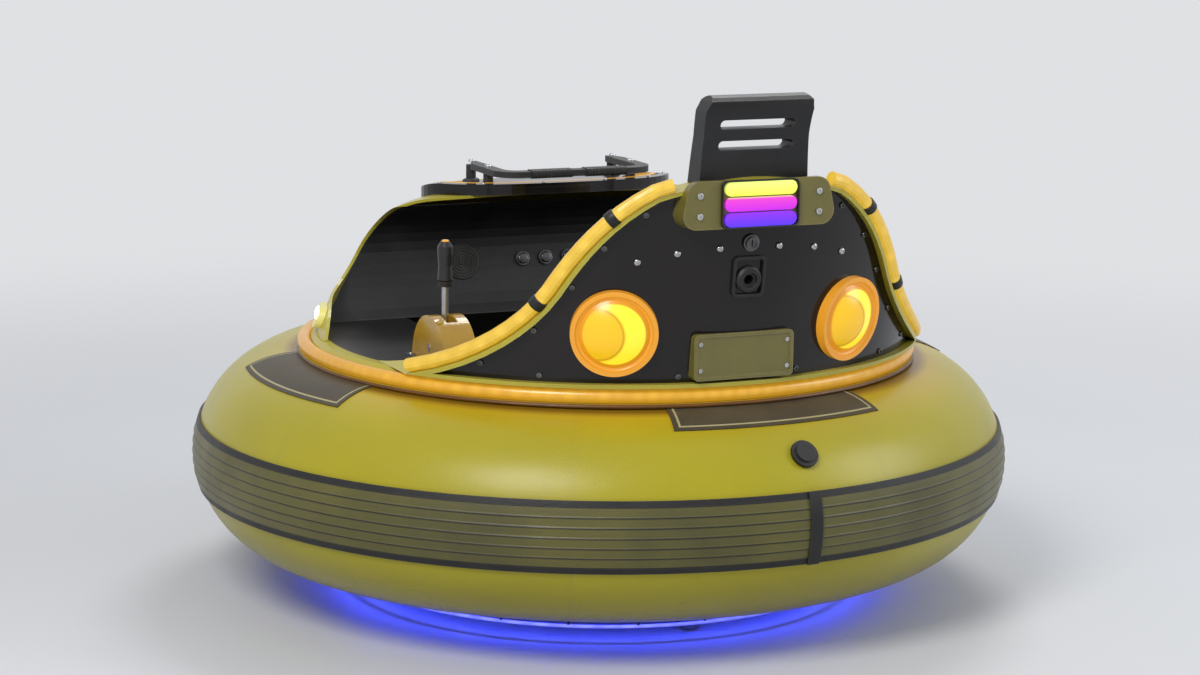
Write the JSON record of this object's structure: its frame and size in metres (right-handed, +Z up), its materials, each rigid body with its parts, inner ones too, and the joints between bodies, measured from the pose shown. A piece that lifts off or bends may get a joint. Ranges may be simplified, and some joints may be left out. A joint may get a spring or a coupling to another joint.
{
  "type": "bumper car",
  "caption": "Battery bumper car for an adult and a child on an inflatable ring, with a moulded body, lit rear arch, domed hood and two steering levers.",
  "frame": {"origin": "on the floor under the middle of the bumper ring", "axes": "+Y forwards, +X to the rider's right, +Z up"},
  "size_m": [1.7498, 1.7498, 1.1284],
  "materials": {
    "ring_pvc": "smooth glossy coated fabric, inflated",
    "band_pvc": "ribbed satin rubbing band",
    "black_rubber": "satin",
    "patch_pvc": "smooth satin, thin pale border",
    "body_gelcoat": "glossy gelcoat on moulded laminate",
    "amber_strip": "translucent amber light strip",
    "black_gloss": "high gloss",
    "mat": "matt, ribbed",
    "upholstery": "fine grain, semi-matt",
    "lamp_bezel": "polished, lightly worn",
    "lamp_lens": "domed amber lens",
    "socket": "satin",
    "led_bar": "diffusing light covers",
    "white_band": "pearl white film",
    "dash": "satin moulded panel",
    "bar_paint": "satin powder coat",
    "lever_cover": "translucent amber cover",
    "lever": "satin grip on a steel rod",
    "frame_steel": "black paint, floor dust",
    "skirt_plastic": "matt",
    "underglow": "dotted light strip in a clear sleeve",
    "battery_case": "moulded case",
    "tyre": "rubber tread",
    "hub": "cast, satin",
    "caster_steel": "zinc plated",
    "caster_wheel": "satin"
  },
  "bodies": {
    "car": {"tube": "ring_pvc", "rub_band": "band_pvc", "band_welts": "black_rubber", "tube_patches": "patch_pvc", "valve_cap": "black_rubber", "body_deck": "body_gelcoat", "rim_strip": "amber_strip", "floor_mat": "mat", "seat_cushion": "upholstery", "back_cushion": "upholstery", "rear_shell": "body_gelcoat", "rear_panel": "black_gloss", "arch_strip": "amber_strip", "lamp_bezels": "lamp_bezel", "lamp_lenses": "lamp_lens", "plate": "body_gelcoat", "charge_port": "socket", "light_bracket": "body_gelcoat", "light_bar": "led_bar", "headrest": "black_gloss", "hood": "body_gelcoat", "visor": "black_gloss", "visor_trim": "black_gloss", "visor_strips": "amber_strip", "nose_panel": "body_gelcoat", "nose_bands": "white_band", "dash_panel": "dash", "grab_bar": "bar_paint", "side_lamps": "lamp_lens", "head_lamps": "lamp_lens", "lever_housing_left": "lever_cover", "lever_housing_right": "lever_cover", "chassis_frame": "frame_steel", "skirt": "skirt_plastic", "underglow": "underglow", "wheel_brackets": "frame_steel", "batteries": "battery_case", "battery_tray": "frame_steel", "caster_plates": "frame_steel"},
    "wheel_left": {"tyre_left": "tyre", "hub_left": "hub"},
    "wheel_right": {"tyre_right": "tyre", "hub_right": "hub"},
    "lever_left": {"lever_left": "lever"},
    "lever_right": {"lever_right": "lever"},
    "fork_front": {"fork_front": "caster_steel"},
    "fork_rear": {"fork_rear": "caster_steel"},
    "caster_front": {"caster_front": "caster_wheel"},
    "caster_rear": {"caster_rear": "caster_wheel"}
  },
  "joints": [
    {"name": "wheel_left_spin", "type": "hinge", "parent": "car", "child": "wheel_left", "pos_m": [-0.43, 0, 0.1], "axis": [1, 0, 0], "continuous": true},
    {"name": "wheel_right_spin", "type": "hinge", "parent": "car", "child": "wheel_right", "pos_m": [0.43, 0, 0.1], "axis": [1, 0, 0], "continuous": true},
    {"name": "lever_left_tilt", "type": "hinge", "parent": "car", "child": "lever_left", "pos_m": [-0.455, -0.25, 0.5823], "axis": [1, 0, 0], "range_deg": [-20, 20], "stiffness_Nm_per_rad": 4},
    {"name": "lever_right_tilt", "type": "hinge", "parent": "car", "child": "lever_right", "pos_m": [0.455, -0.25, 0.5823], "axis": [1, 0, 0], "range_deg": [-20, 20], "stiffness_Nm_per_rad": 4},
    {"name": "fork_front_swivel", "type": "hinge", "parent": "car", "child": "fork_front", "pos_m": [0, 0.43, 0.115], "axis": [0, 0, 1], "continuous": true},
    {"name": "caster_front_spin", "type": "hinge", "parent": "fork_front", "child": "caster_front", "pos_m": [0, 0.398, 0.05], "axis": [1, 0, 0], "continuous": true},
    {"name": "fork_rear_swivel", "type": "hinge", "parent": "car", "child": "fork_rear", "pos_m": [0, -0.43, 0.115], "axis": [0, 0, 1], "continuous": true},
    {"name": "caster_rear_spin", "type": "hinge", "parent": "fork_rear", "child": "caster_rear", "pos_m": [0, -0.462, 0.05], "axis": [1, 0, 0], "continuous": true}
  ]
}
